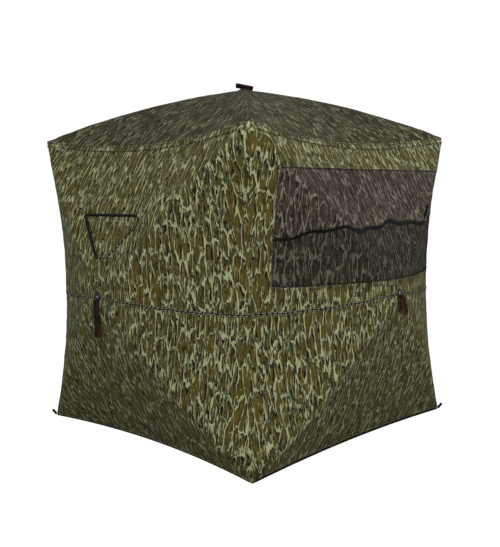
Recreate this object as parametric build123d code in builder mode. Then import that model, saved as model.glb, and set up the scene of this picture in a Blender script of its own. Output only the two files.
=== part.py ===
"""Pop up ground blind: a skin over five hubs, each holding four bent poles out of its face.

The skin's eight corners are the corners of a cube.  Every wall and the roof bulges out of its
face of the cube to a hub, and four poles run from the hub to the face's corners.
Frame: +Z up, origin on the ground under the middle; the front wall faces -Y, the left one -X.
All sizes are in millimetres.
"""

import os
from math import asin, atan2, cos, degrees, hypot, radians, sin, sqrt

from build123d import *

os.makedirs("parts", exist_ok=True)

# Driving dimensions of the whole blind
footprint = 1473.0  # corner to corner, along the ground and up to the eaves
hub_to_hub = 1918.0  # over two opposite wall hubs
centre_height = 1731.0  # ground to the roof's peak
pole_belly = 36.0  # how far the bent poles hold the skin off a straight line
edge_pull = 54.0  # how far a free edge is pulled in at its middle, across each of its faces
hem_pull = {"front": 22.0, "left": 58.0, "back": 30.0, "right": 40.0}  # the same at the ground
hem_lift = 10.0  # how far the middle of a hem is off the ground

# Skin
skin = 2.0  # thickness of the fabric with its coating and seams
band_reach = 72.0  # width of the fixed band along an edge
panel_start = 80.0  # where a moving panel begins, measured in from the edge
pole_channel = 9.0  # room that a panel leaves for the pole beside it
corner_gap = 1.5  # between two bands that meet at a mitre

# Hub, pole and corner hardware
hub_radius = 56.0
hub_depth = 13.5  # from the peak of the skin down to the hub's outer plate
plate = 4.0  # thickness of each of the hub's two plates
plate_gap = 24.0  # between the two plates
pin_circle = 46.0  # radius of the circle of the four pole pins
pin_radius = 2.0
pin_depth = hub_depth + plate + plate_gap / 2  # of the pole pins under the skin's peak
blade = 4.0  # thickness of the flat end of a pole
blade_height = 13.6
blade_room = 0.5  # each side of a blade in its slot
pole_radius = 4.75
rod_belly = 44.0  # rise of the bent rod over its own chord
corner_pin = 70.0  # from a corner of the cube to the pin there, along the face's diagonal

# Windows and door, in the frame of their own wall: x to the right, y up from the hub
front_window = (-606.0, 625.0, 63.5, 558.5)  # left, right, bottom, top
curtain_hem = 293.5  # height of the upper curtain's lower edge
curtain_lap = 10.0  # how far a curtain reaches past the edge of its window
side_window = [(-210.0, 363.5), (184.0, 363.5), (212.0, 331.5), (36.0, 175.5), (-48.0, 168.5)]
flap_lap = 6.0
door = [(622.0, -430.0), (622.0, 430.0), (520.0, 430.0), (140.0, 60.0), (140.0, -60.0), (520.0, -430.0)]
door_gap = 2.0
slider_place = (498.0, 422.5)  # beside the doorway's slanting edge, clear of the leaf

# Straps
strap_width = 25.0
webbing = 1.8
strap_gap = 9.0  # finger room inside a strap's loop
strap_stand = 5.0  # from the skin to a hanging strap
front_strap_tilt = 24.0  # from straight down; further over it would meet the panel beside it
roof_strap_width, roof_strap_height = 96.0, 30.0

half = footprint / 2
diagonal = half * sqrt(2)
wall_bow = hub_to_hub / 2 - half
roof_bow = centre_height - footprint
panel_end = half - hub_radius - 4.0
roof_panel_end = half - 86.0  # further from the hub, clear of the roof's strap as the roof goes flat
through = 2 * half  # longer than anything that is cut

# Each face's plane: origin in its middle, x to the right and y up as seen from outside
walls = {
    "front": Plane(origin=(0, -half, half), x_dir=(1, 0, 0), z_dir=(0, -1, 0)),
    "left": Plane(origin=(-half, 0, half), x_dir=(0, -1, 0), z_dir=(-1, 0, 0)),
    "back": Plane(origin=(0, half, half), x_dir=(-1, 0, 0), z_dir=(0, 1, 0)),
    "right": Plane(origin=(half, 0, half), x_dir=(0, 1, 0), z_dir=(1, 0, 0)),
}
roof = Plane(origin=(0, 0, footprint), x_dir=(1, 0, 0), z_dir=(0, 0, 1))
faces = {**walls, "roof": roof}
bows = {name: roof_bow if name == "roof" else wall_bow for name in faces}

# The four sectors and corners of a face, by quarter turns from its x direction
wall_sides = ("right", "top", "left", "bottom")
roof_sides = ("right", "back", "left", "front")
wall_corners = ("upper_right", "upper_left", "lower_left", "lower_right")
roof_corners = ("back_right", "back_left", "front_left", "front_right")


def save(shape, name):
    """Label a finished piece and write it to its STEP file."""
    shape.label = name
    export_step(shape, f"parts/{name}.step")


def turned(plane, angle):
    """The plane turned about its own normal by an angle in degrees."""
    x_dir = plane.x_dir * cos(radians(angle)) + plane.y_dir * sin(radians(angle))
    return Plane(origin=plane.origin, x_dir=x_dir, z_dir=plane.z_dir)


# ---------------------------------------------------------------- the shape of the skin


def skin_height(inward, bow):
    """Height of the skin over its face along a pole, this far in from the face's edge."""
    f = inward / half
    return bow * f + 4 * pole_belly * f * (1 - f)


def dip(inward, along, pull):
    """How far the skin hangs back between two poles; along runs from -1 at one to 1 at the other."""
    return pull * (1 - inward / half) ** 2 * (1 - along**2)


def sector(face, turn):
    """The face's plane turned so that its x direction points at one of its four edges."""
    return turned(face, 90 * turn)


def panel_side(inward, bow):
    """Half the width of a panel, cut back so that it clears its neighbours when the face goes flat."""
    height = skin_height(inward, bow)
    return half - hypot(inward, height) - pole_channel


def panel_sheet(plane, bow, pull, depth=0.0, end_inward=panel_end):
    """One triangular panel of a face: a thin saddle between two poles, depth below the skin."""
    steps = 5
    with BuildPart() as sheet:
        for step in range(steps + 1):
            inward = panel_start + (end_inward - panel_start) * step / steps
            side = panel_side(inward, bow)
            top = skin_height(inward, bow) - depth
            middle = top - dip(inward, 0, pull)
            end = top - dip(inward, side / (half - inward), pull)
            station = Plane(
                origin=plane.from_local_coords((half - inward, 0, 0)),
                x_dir=-plane.y_dir,
                z_dir=-plane.x_dir,
            )
            with BuildSketch(station):
                with BuildLine():
                    ThreePointArc((-side, end), (0, middle), (side, end))
                    Line((side, end), (side, end - skin))
                    ThreePointArc((side, end - skin), (0, middle - skin), (-side, end - skin))
                    Line((-side, end - skin), (-side, end))
                make_face()
        loft()
    return sheet.part


def wall_pull(name, turn):
    """How far a sector's free edge is pulled in: a hem for a wall's bottom, or else an edge or eave."""
    return hem_pull[name] if name != "roof" and turn == 3 else edge_pull


# ---------------------------------------------------------------- moving panels


def plain_panel(name, turn):
    """A panel with no opening."""
    end_inward = roof_panel_end if name == "roof" else panel_end
    pull = wall_pull(name, turn)
    return panel_sheet(sector(faces[name], turn), bows[name], pull, end_inward=end_inward)


def front_panel(turn):
    """A front wall panel: the wide window cut through it, with the upper curtain sewn behind."""
    left, right, bottom, top = front_window
    plane = sector(walls["front"], turn)
    low = hub_radius / 2 if turn == 1 else bottom
    with BuildPart() as panel:
        add(panel_sheet(plane, wall_bow, edge_pull))
        with BuildSketch(walls["front"]):
            with Locations(((left + right) / 2, (low + top) / 2)):
                Rectangle(right - left, top - low)
        extrude(amount=through, both=True, mode=Mode.SUBTRACT)
    with BuildPart() as curtain:
        add(panel_sheet(plane, wall_bow, edge_pull, depth=skin))
        with BuildSketch(walls["front"]):
            with Locations(((left + right) / 2, (curtain_hem + top + curtain_lap) / 2)):
                Rectangle(right - left + 2 * curtain_lap, top + curtain_lap - curtain_hem)
        extrude(amount=through, both=True, mode=Mode.INTERSECT)
    return Compound(children=[*panel.solids(), *curtain.solids()])


def window_cover(turn):
    """One of the three parts of the lower curtain, which folds in to open the front window."""
    left, right, bottom, _ = front_window
    low = bottom + 2.5
    high = curtain_hem + curtain_lap
    with BuildPart() as cover:
        add(panel_sheet(sector(walls["front"], turn), wall_bow, edge_pull, depth=2 * skin + 1.0))
        with BuildSketch(walls["front"]):
            with Locations(((left + right) / 2, (low + high) / 2)):
                Rectangle(right - left + curtain_lap, high - low)
        extrude(amount=through, both=True, mode=Mode.INTERSECT)
    return cover.part


def side_window_panel():
    """The left wall's top panel, with its three-cornered window."""
    with BuildPart() as panel:
        add(panel_sheet(sector(walls["left"], 1), wall_bow, edge_pull))
        with BuildSketch(walls["left"]):
            with BuildLine():
                Polyline(*side_window, close=True)
            make_face()
        extrude(amount=through, both=True, mode=Mode.SUBTRACT)
    return panel.part


def side_window_flap():
    """The flap behind the left wall's window, hinged along its short lower edge."""
    with BuildPart() as flap:
        add(panel_sheet(sector(walls["left"], 1), wall_bow, edge_pull, depth=skin + 2.0))
        with BuildSketch(walls["left"]):
            with BuildLine():
                Polyline(*side_window, close=True)
            make_face()
            offset(amount=flap_lap)
        extrude(amount=through, both=True, mode=Mode.INTERSECT)
    return flap.part


def door_surround():
    """The back wall's right panel, with the doorway cut out of it."""
    with BuildPart() as panel:
        add(panel_sheet(sector(walls["back"], 0), wall_bow, edge_pull))
        with BuildSketch(walls["back"]):
            with BuildLine():
                Polyline(*door, close=True)
            make_face()
        extrude(amount=through, both=True, mode=Mode.SUBTRACT)
    return panel.part


def door_leaf():
    """The door: what the doorway leaves, a little smaller all round."""
    with BuildPart() as leaf:
        add(panel_sheet(sector(walls["back"], 0), wall_bow, edge_pull))
        with BuildSketch(walls["back"]):
            with BuildLine():
                Polyline(*door, close=True)
            make_face()
            offset(amount=-door_gap, kind=Kind.INTERSECTION)
        extrude(amount=through, both=True, mode=Mode.INTERSECT)
    return leaf.part


for name in faces:
    sides = roof_sides if name == "roof" else wall_sides
    for turn, side_name in enumerate(sides):
        if name == "front" and side_name != "bottom":
            panel_shape = front_panel(turn)
            save(window_cover(turn), f"front_window_cover_{side_name}")
        elif name == "left" and side_name == "top":
            panel_shape = side_window_panel()
        elif name == "back" and side_name == "right":
            panel_shape = door_surround()
        else:
            panel_shape = plain_panel(name, turn)
        save(panel_shape, f"{name}_{side_name}_panel")

save(side_window_flap(), "side_window_flap")
save(door_leaf(), "door_leaf")

# ---------------------------------------------------------------- fixed edges of the skin


def band_section(z, bow_a, bow_b, origin, wing_a, wing_b):
    """The V of an edge band at z along its edge; each wing lies in one of the two faces."""
    along = z / half
    room = half - abs(z) - corner_gap
    reach = min(band_reach, room)
    fold = edge_pull * (1 - along**2)
    across = max(-1.0, min(1.0, z / (half - reach)))
    rise_a = skin_height(reach, bow_a) - dip(reach, across, edge_pull)
    rise_b = skin_height(reach, bow_b) - dip(reach, across, edge_pull)
    edge_dir = Vector(*wing_a).cross(Vector(*wing_b))
    station = Plane(origin=Vector(*origin) + edge_dir * z, x_dir=wing_a, z_dir=edge_dir)
    with BuildSketch(station) as section:
        with BuildLine():
            Polyline(
                (reach, -rise_a),
                (fold, fold),
                (-rise_b, reach),
                (skin - rise_b, reach),
                (fold + skin, fold + skin),
                (reach, skin - rise_a),
                close=True,
            )
        make_face()
    return section.sketch


def edge_band(origin, wing_a, wing_b, bow_a, bow_b):
    """The fixed skin along one edge, curved in to the middle and mitred at both corners."""
    steps = (-0.98, -0.9, -0.6, -0.3, 0, 0.3, 0.6, 0.9, 0.98)
    with BuildPart() as band:
        for step in steps:
            add(band_section(step * half, bow_a, bow_b, origin, wing_a, wing_b))
        loft(ruled=True)
    return band.part


bands = []
for x_side, y_side in ((-1, -1), (1, -1), (1, 1), (-1, 1)):
    corner_edge = (x_side * half, y_side * half, half)
    bands.append(edge_band(corner_edge, (-x_side, 0, 0), (0, -y_side, 0), wall_bow, wall_bow))
for name, wall in walls.items():
    eave = wall.from_local_coords((0, half, 0))
    inward = tuple(-wall.z_dir)
    bands.append(edge_band(tuple(eave), inward, (0, 0, -1), roof_bow, wall_bow))
save(Compound(children=bands), "edge_bands")


def hem_strip(name):
    """The fixed strip of skin along the ground under one wall."""
    wall = walls[name]
    pull = hem_pull[name]
    with BuildPart() as strip:
        for step in (-0.98, -0.9, -0.6, -0.3, 0, 0.3, 0.6, 0.9, 0.98):
            z = step * half
            room = half - abs(z) - corner_gap
            reach = min(band_reach, room)
            lift = hem_lift * (1 - step**2)
            back = -pull * (1 - step**2)
            across = max(-1.0, min(1.0, z / (half - reach)))
            rise = skin_height(reach, wall_bow) - dip(reach, across, pull)
            station = Plane(
                origin=wall.from_local_coords((z, -half, 0)), x_dir=wall.z_dir, z_dir=-wall.x_dir
            )
            with BuildSketch(station):
                with BuildLine():
                    Polyline(
                        (back, lift), (rise, reach), (rise - skin, reach), (back - skin, lift), close=True
                    )
                make_face()
        loft(ruled=True)
    return strip.part


save(Compound(children=[hem_strip(name) for name in walls]), "bottom_hem")

# ---------------------------------------------------------------- hubs


def hub(plane, bow):
    """A moulded hub: two plates, four slots for the poles' blades, their pins and the centre bolt."""
    top = plane.offset(bow - hub_depth)
    thickness = 2 * plate + plate_gap
    bolt_radius = 4.0
    bolt_head = 9.0
    head_height = 5.0
    with BuildPart() as body:
        with BuildSketch(top):
            Circle(hub_radius)
        extrude(amount=-thickness)
        fillet(body.edges().filter_by(GeomType.CIRCLE), radius=1.5)
        with BuildSketch(top.offset(-plate)):
            with PolarLocations(0, 2, start_angle=45, angular_range=180):
                Rectangle(2.2 * hub_radius, blade + 2 * blade_room)
        extrude(amount=-plate_gap, mode=Mode.SUBTRACT)
        with BuildSketch(top):
            Circle(bolt_radius)
        extrude(amount=-thickness, mode=Mode.SUBTRACT)
    pieces = list(body.solids())
    with BuildPart() as bolt:
        with BuildSketch(top):
            Circle(bolt_radius)
        extrude(amount=-thickness)
        with BuildSketch(top):
            Circle(bolt_head)
        extrude(amount=head_height)
        with BuildSketch(top.offset(-thickness)):
            RegularPolygon(radius=bolt_head, side_count=6)
        extrude(amount=-head_height)
    pieces += bolt.solids()
    pin_length = blade + 2 * blade_room
    for turn in range(4):
        pin_plane = turned(plane.offset(bow - pin_depth), 45 + 90 * turn)
        pin_end = Plane(
            origin=pin_plane.from_local_coords((pin_circle, -pin_length / 2, 0)),
            z_dir=pin_plane.y_dir,
        )
        with BuildPart() as pin:
            with BuildSketch(pin_end):
                Circle(pin_radius)
            extrude(amount=pin_length)
        pieces += pin.solids()
    return Compound(children=pieces)


for name, plane in faces.items():
    save(hub(plane, bows[name]), f"{name}_hub")

# ---------------------------------------------------------------- poles


def pole(plane, bow, turn):
    """A bent fibreglass pole with a flat eye at its corner end and a slotted blade at its hub end."""
    to_corner = turned(plane, 45 + 90 * turn)
    run = diagonal - corner_pin - pin_circle
    chord = hypot(run, bow)
    slope = degrees(atan2(bow, run))
    slide = chord - run  # how much nearer the two pins are when the face is flat
    radius = (chord**2 / 4 + rod_belly**2) / (2 * rod_belly)
    half_angle = asin(chord / 2 / radius)
    # x along the chord from the corner's pin to the hub's pin, y outwards
    level = Plane(
        origin=to_corner.from_local_coords((diagonal - corner_pin, 0, -pin_depth)),
        x_dir=-to_corner.x_dir,
        z_dir=(-to_corner.x_dir).cross(to_corner.z_dir),
    )
    upright = turned(level, slope)

    def on_rod(x):
        angle = asin((x - chord / 2) / radius)
        return (x, radius * cos(angle) - radius * cos(half_angle))

    rod_start = 14.0
    straight = slide + 16.0
    rod_end = chord - straight - 14.0
    eye = 5.5
    eye_hole = pin_radius + 0.05
    low = blade_height / 2
    with BuildPart() as body:
        with BuildLine(upright):
            rod = ThreePointArc(on_rod(rod_start), on_rod(chord / 2), on_rod(rod_end))
        with BuildSketch(Plane(origin=rod @ 0, z_dir=rod % 0)):
            Circle(pole_radius)
        sweep(path=rod)
        with BuildSketch(upright):
            Circle(eye)
            with BuildLine():
                Polyline((0, -eye), (28, -2), (28, 12), (0, eye), close=True)
            make_face()
            with BuildLine():
                Polyline(
                    (chord + 5, -low),
                    (chord + 5, low),
                    (chord - straight, low + 1),
                    (rod_end - 22, on_rod(rod_end - 22)[1] + pole_radius - 1),
                    (rod_end - 22, on_rod(rod_end - 22)[1] - pole_radius + 1),
                    (chord - straight, -low),
                    close=True,
                )
            make_face()
            Circle(eye_hole, mode=Mode.SUBTRACT)
            with Locations((chord - slide / 2, 0)):
                SlotCenterToCenter(slide, 2 * pin_radius + 5.2, mode=Mode.SUBTRACT)
        extrude(amount=blade / 2, both=True)
    return body.part


for name, plane in faces.items():
    corners = roof_corners if name == "roof" else wall_corners
    for turn, corner_name in enumerate(corners):
        save(pole(plane, bows[name], turn), f"{name}_pole_{corner_name}")

# ---------------------------------------------------------------- corner sockets


def socket(x_side, y_side, top):
    """A moulded corner cup with a forked ear and a pin for each pole that ends in it."""
    low, high = 8.0, 30.0
    z_low = low if top else 0.0
    corner = Vector(x_side * half, y_side * half, footprint if top else 0)
    up = -1 if top else 1
    inward = (Vector(-x_side, 0, 0), Vector(0, -y_side, 0), Vector(0, 0, up))
    ears = [(inward[0], inward[2], inward[1]), (inward[1], inward[2], inward[0])]
    if top:
        ears.append((inward[0], inward[1], inward[2]))
    size = (high - low, high - low, high - z_low)
    middle = corner + inward[0] * (low + high) / 2 + inward[1] * (low + high) / 2
    middle += inward[2] * (z_low + high) / 2
    fork = blade + 2 * blade_room
    ear = 2.5
    reach_in = corner_pin / sqrt(2)
    pins = []
    with BuildPart() as cup:
        with Locations(Location(middle)):
            Box(*size)
        fillet(cup.edges(), radius=3)
        for along_a, along_b, depth_dir in ears:
            pivot = corner + along_a * reach_in + along_b * reach_in + depth_dir * pin_depth
            towards = (along_a + along_b).normalized()
            across = towards.cross(-depth_dir)
            for side in (-1, 1):
                start = pivot + across * (side * (fork / 2 + ear / 2))
                with BuildSketch(Plane(origin=start, x_dir=towards, z_dir=across)):
                    Circle(6)
                    with BuildLine():
                        Polyline((0, -6), (0, 6), (-24, 6), (-34, 3), (-34, -6), close=True)
                    make_face()
                    Circle(pin_radius, mode=Mode.SUBTRACT)
                extrude(amount=ear / 2, both=True)
            back = Plane(origin=pivot - towards * 31, x_dir=across, z_dir=towards)
            with BuildSketch(back):
                Rectangle(fork + 2 * ear, 9)
            extrude(amount=8, both=True)
            pins.append(Plane(origin=pivot - across * (fork / 2 + ear), z_dir=across))
    pieces = list(cup.solids())
    for pin_end in pins:
        with BuildPart() as pin:
            with BuildSketch(pin_end):
                Circle(pin_radius)
            extrude(amount=fork + 2 * ear)
        pieces += pin.solids()
    return pieces


sockets = []
for x_side, y_side in ((-1, -1), (1, -1), (1, 1), (-1, 1)):
    for top in (False, True):
        sockets += socket(x_side, y_side, top)
save(Compound(children=sockets), "corner_sockets")

# ---------------------------------------------------------------- straps, loops and zip


def loop(plane, length, gap, width):
    """A flat webbing loop: it runs along the plane's x direction, and is width wide along its z."""
    outer = gap + 2 * webbing
    with BuildPart() as strap:
        with BuildSketch(plane):
            with Locations((length / 2, 0)):
                SlotOverall(length, outer)
                SlotOverall(length - 2 * webbing, gap, mode=Mode.SUBTRACT)
        extrude(amount=width / 2, both=True)
    return strap.part


def hanging_strap(name, angle, length):
    """A pull strap that hangs over the outside of a wall from its peak; angle is from straight down."""
    wall = walls[name].offset(wall_bow + strap_stand)
    down = turned(wall, angle - 90)
    outwards = Plane(
        origin=down.from_local_coords((12, 0, strap_gap / 2 + webbing)),
        x_dir=down.x_dir,
        z_dir=down.y_dir,
    )
    return loop(outwards, length, strap_gap, strap_width)


for name in walls:
    tilt = front_strap_tilt if name == "front" else 0
    strap_length = 95 if name == "front" else 170
    save(hanging_strap(name, tilt, strap_length), f"{name}_pull_strap")

roof_strap_base = centre_height + 4
with BuildPart() as roof_strap:
    # the flattened ring lies across the view of someone who faces the front corner
    ring = Plane(origin=(0, 0, roof_strap_base + roof_strap_height / 2), x_dir=(1, -1, 0), z_dir=(1, 1, 0))
    with BuildSketch(ring):
        SlotOverall(roof_strap_width, roof_strap_height)
        SlotOverall(roof_strap_width - 2 * webbing, roof_strap_height - 2 * webbing, mode=Mode.SUBTRACT)
    extrude(amount=strap_width / 2, both=True)
save(roof_strap.part, "roof_pull_strap")

stake_length = 34.0
stake_loops = []
for x_side, y_side, inside in ((-1, -1, True), (1, -1, False), (1, 1, False), (-1, 1, False)):
    outward = Vector(x_side, y_side, 0).normalized()
    corner = Vector(x_side * half, y_side * half, 0)
    start = corner - outward * 62 if inside else corner + outward * 1.5
    tilt_up = Vector(0, 0, 1) if inside else (outward + Vector(0, 0, 1.2)).normalized()
    sideways = outward.cross(Vector(0, 0, 1))
    stake_plane = Plane(origin=start + Vector(0, 0, 7), x_dir=tilt_up, z_dir=sideways)
    stake_loops.append(loop(stake_plane, stake_length, 5.0, 20.0))
save(Compound(children=stake_loops), "stake_loops")

with BuildPart() as slider:
    x, y = slider_place
    inward = half - x
    height = skin_height(inward, wall_bow) - dip(inward, y / x, edge_pull)
    start = walls["back"].from_local_coords((x, y, height + 8))
    slider_plane = turned(Plane(origin=start, x_dir=walls["back"].x_dir, z_dir=walls["back"].z_dir), 225)
    with BuildSketch(slider_plane):
        SlotOverall(16, 9)
    extrude(amount=5)
    with BuildSketch(slider_plane.offset(5)):
        with Locations((-14, 0)):
            SlotOverall(34, 8)
            with Locations((-10, 0)):
                Circle(2.2, mode=Mode.SUBTRACT)
    extrude(amount=1.6)
save(slider.part, "door_zip_slider")
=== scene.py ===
"""The looks of the pop up ground blind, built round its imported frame. Lengths are in metres.

Every face of the blind is drawn flat first, in the face's own x and y with the hub at 0, 0.  It is
cut there, and then laid on the shape that the hub and the four bent poles stretch it to.
"""

import math

import bmesh
import bpy
import numpy as np
from mathutils import Matrix, Vector


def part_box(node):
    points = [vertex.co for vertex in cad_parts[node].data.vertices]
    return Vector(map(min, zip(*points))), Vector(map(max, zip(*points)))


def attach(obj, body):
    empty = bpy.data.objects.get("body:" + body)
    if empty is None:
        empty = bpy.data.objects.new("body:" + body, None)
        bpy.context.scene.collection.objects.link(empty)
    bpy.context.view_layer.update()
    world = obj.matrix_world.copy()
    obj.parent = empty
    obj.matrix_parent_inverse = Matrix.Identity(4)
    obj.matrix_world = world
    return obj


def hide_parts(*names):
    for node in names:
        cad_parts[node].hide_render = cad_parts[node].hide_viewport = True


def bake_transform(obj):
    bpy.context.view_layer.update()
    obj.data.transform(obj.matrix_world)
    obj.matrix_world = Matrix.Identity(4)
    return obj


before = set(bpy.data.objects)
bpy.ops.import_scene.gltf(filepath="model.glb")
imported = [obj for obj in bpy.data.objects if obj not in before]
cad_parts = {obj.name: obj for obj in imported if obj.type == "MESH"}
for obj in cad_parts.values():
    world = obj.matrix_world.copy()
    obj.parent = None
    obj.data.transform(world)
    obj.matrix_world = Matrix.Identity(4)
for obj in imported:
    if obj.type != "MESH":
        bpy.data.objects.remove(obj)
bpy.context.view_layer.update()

# The blind's driving sizes, the same as its frame's
FOOTPRINT = 1.473
HALF = FOOTPRINT / 2
WALL_BOW = 1.918 / 2 - HALF
ROOF_BOW = 1.731 - FOOTPRINT
POLE_BELLY = 0.036
EDGE_PULL = 0.054
HEM_PULL = {"front": 0.022, "left": 0.058, "back": 0.030, "right": 0.040}
HEM_LIFT = 0.010

FRONT_WINDOW = (-0.606, 0.625, 0.0635, 0.5585)
CURTAIN_HEM = 0.2935
SIDE_WINDOW = [(-0.210, 0.3635), (-0.048, 0.1685), (0.036, 0.1755), (0.212, 0.3315), (0.184, 0.3635)]
DOOR = [(0.622, -0.430), (0.622, 0.430), (0.520, 0.430), (0.140, 0.060), (0.140, -0.060), (0.520, -0.430)]
STRAP_LENGTH = {"front": 0.095, "left": 0.170, "back": 0.170, "right": 0.170}
STRAP_TILT = {"front": 24, "left": 0, "back": 0, "right": 0}

CLOTH_THICK = 0.0015

# Each face: its middle, its x direction and its outward normal
FACES = {
    "front": ((0, -HALF, HALF), (1, 0, 0), (0, -1, 0)),
    "left": ((-HALF, 0, HALF), (0, -1, 0), (-1, 0, 0)),
    "back": ((0, HALF, HALF), (-1, 0, 0), (0, 1, 0)),
    "right": ((HALF, 0, HALF), (0, 1, 0), (1, 0, 0)),
    "roof": ((0, 0, FOOTPRINT), (1, 0, 0), (0, 0, 1)),
}
WALLS = ("front", "left", "back", "right")
SIDES = {face: ("right", "top", "left", "bottom") for face in WALLS}
SIDES["roof"] = ("right", "back", "left", "front")
CORNERS = {face: ("upper_right", "upper_left", "lower_left", "lower_right") for face in WALLS}
CORNERS["roof"] = ("back_right", "back_left", "front_left", "front_right")
TURNS = [(1, 0), (0, 1), (-1, 0), (0, -1)]
RIGHT, TOP, LEFT, BOTTOM = range(4)
# How far round the blind each wall's middle is, so that the print runs on from wall to wall
ROUND = {"left": -FOOTPRINT, "front": 0.0, "right": FOOTPRINT, "back": 2 * FOOTPRINT, "roof": 9.0}


def bow(face):
    return ROOF_BOW if face == "roof" else WALL_BOW


def axes(face):
    """The face's middle, x, y and outward directions, as arrays."""
    middle, right, out = (np.array(v, float) for v in FACES[face])
    return middle, right, np.cross(out, right), out


# ---------------------------------------------------------------- the stretched shape


def smooth(x):
    x = np.clip(x, 0, 1)
    return x * x * (3 - 2 * x)


def pulls(face, turn):
    """How far the middle of a free edge is drawn in, in the face's own plane and back from it."""
    if face != "roof" and turn == BOTTOM:
        return HEM_LIFT, HEM_PULL[face]
    return EDGE_PULL, EDGE_PULL


def stretch(face, turn, x, y):
    """A flat point's place in its sector.

    t runs from 0 at the free edge to 1 at the hub, and q from -1 to 1 across.
    """
    c, s = TURNS[turn]
    inward = HALF - x * c - y * s
    side = y * c - x * s
    t = inward / HALF
    for _ in range(10):
        q = np.clip(side / np.maximum(HALF * (1 - t), 1e-6), -1, 1)
        edge = pulls(face, turn)[0] * (1 - q * q)
        t = np.clip((inward - edge) / (HALF - edge), 0, 1)
    return t, q


def ripple(seed, x, y, longest, shortest, count=7):
    """A calm irregular surface between -1 and 1, as slack cloth has."""
    dice = np.random.default_rng(seed)
    total = np.zeros_like(x)
    for length in np.geomspace(longest, shortest, count):
        angle, phase = dice.uniform(0, math.tau, 2)
        k = math.tau / length
        total += np.sin(k * (x * math.cos(angle) + y * math.sin(angle)) + phase) * length
    return total / np.geomspace(longest, shortest, count).sum()


def seam_line(x):
    """The height of the walls' middle seam, which sags from each hub to the corners."""
    return -0.047 * np.sin(math.pi / 2 * np.abs(x) / HALF)


def folds(face, turn, x, y, t):
    """The small folds in the cloth: slack, puckers at the seams, and pulls from the corners."""
    seed = sorted(FACES).index(face)
    height = 0.0030 * ripple(seed, x, y, 0.5, 0.12)
    for number, (cx, cy) in enumerate(((1, 1), (-1, 1), (-1, -1), (1, -1))):
        away = np.hypot(x - cx * HALF, y - cy * HALF)
        angle = np.arctan2(np.abs(y - cy * HALF), np.abs(x - cx * HALF) + 1e-9)
        rays = np.sin(angle * 19 + 2.2 * np.sin(angle * 7 + seed + number))
        height += 0.0034 * rays * np.exp(-away / 0.21) * smooth(away / 0.10)
    near_edge = np.exp(-t / 0.10)
    along = x if turn in (TOP, BOTTOM) else y
    height += 0.0026 * near_edge * np.sin(math.tau * along / 0.083 + 2.4 * np.sin(along * 13 + seed))
    if face != "roof":
        pucker = np.sin(math.tau * x / 0.026 + 1.7 * np.sin(x * 31))
        height += 0.0019 * pucker * np.exp(-np.abs(y - seam_line(x)) / 0.020)
    hub_calm = smooth((1 - t) / 0.10)
    return height * smooth(t / 0.05) * hub_calm


def height_of(face, turn, x, y):
    t, q = stretch(face, turn, x, y)
    base = bow(face) * t + 4 * POLE_BELLY * t * (1 - t)
    base -= pulls(face, turn)[1] * (1 - q * q) * (1 - t) ** 2
    return base + folds(face, turn, x, y, t)


def lay(face, turn, flat, lift=0.0):
    """Flat points, an N by 2 array, as points of the stretched cloth; lift is outwards from it."""
    middle, right, up, out = axes(face)
    x, y = flat[:, 0], flat[:, 1]
    z = height_of(face, turn, x, y) + lift
    return middle + np.outer(x, right) + np.outer(y, up) + np.outer(z, out)


def bend_with_panel(piece):
    """Bakes the piece's place into its mesh; nothing here ties it to its panel."""
    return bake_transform(piece)


# ---------------------------------------------------------------- materials


def srgb(red, green, blue):
    """A colour as it is seen, 0 to 255, as the linear values that shaders take."""
    values = [v / 255 for v in (red, green, blue)]
    return (*[v / 12.92 if v <= 0.04045 else ((v + 0.055) / 1.055) ** 2.4 for v in values], 1.0)


class Nodes:
    """A material's node tree, with one short call for each node."""

    def __init__(self, name):
        self.material = bpy.data.materials.new(name)
        self.material.use_nodes = True
        self.tree = self.material.node_tree
        self.shader = self.tree.nodes["Principled BSDF"]

    def add(self, kind, inputs=(), **settings):
        node = self.tree.nodes.new("ShaderNode" + kind)
        for key, value in settings.items():
            setattr(node, key, value)
        for socket, value in dict(inputs).items():
            self.put(node.inputs[socket], value)
        return node

    def put(self, socket, value):
        if isinstance(value, bpy.types.NodeSocket):
            self.tree.links.new(value, socket)
        else:
            socket.default_value = value

    def math(self, operation, a, b=0.0):
        return self.add("Math", {0: a, 1: b}, operation=operation).outputs[0]

    def cloth(self):
        return self.add("UVMap", uv_map="cloth").outputs["UV"]

    def scaled(self, vector, x, y, z=1.0, offset=(0, 0, 0)):
        mapping = self.add("Mapping", {"Vector": vector, "Scale": (x, y, z), "Location": offset})
        return mapping.outputs[0]

    def noise(self, vector, detail=2.0, roughness=0.5, scale=1.0):
        inputs = {"Vector": vector, "Scale": scale, "Detail": detail, "Roughness": roughness}
        return self.add("TexNoise", inputs).outputs[0]

    def step(self, value, low, high):
        """0 below low, 1 above high, and smooth between."""
        inputs = {"Value": value, "From Min": low, "From Max": high}
        return self.add("MapRange", inputs, interpolation_type="SMOOTHSTEP").outputs[0]

    def mix(self, share, a, b, blend="MIX"):
        node = self.add("Mix", data_type="RGBA", blend_type=blend)
        self.put(node.inputs[0], share)
        self.put(node.inputs[6], a)
        self.put(node.inputs[7], b)
        return node.outputs[2]

    def bump(self, height, distance, strength=1.0, normal=None):
        inputs = {"Height": height, "Distance": distance, "Strength": strength}
        node = self.add("Bump", inputs)
        if normal is not None:
            self.put(node.inputs["Normal"], normal)
        return node.outputs[0]

    def finish(self, **values):
        for socket, value in values.items():
            self.put(self.shader.inputs[socket.replace("_", " ")], value)
        return self.material


THREADS = 900.0  # how fine the weave is: about this many threads to the metre
RIBS = 420.0  # how fine the webbing is


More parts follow.
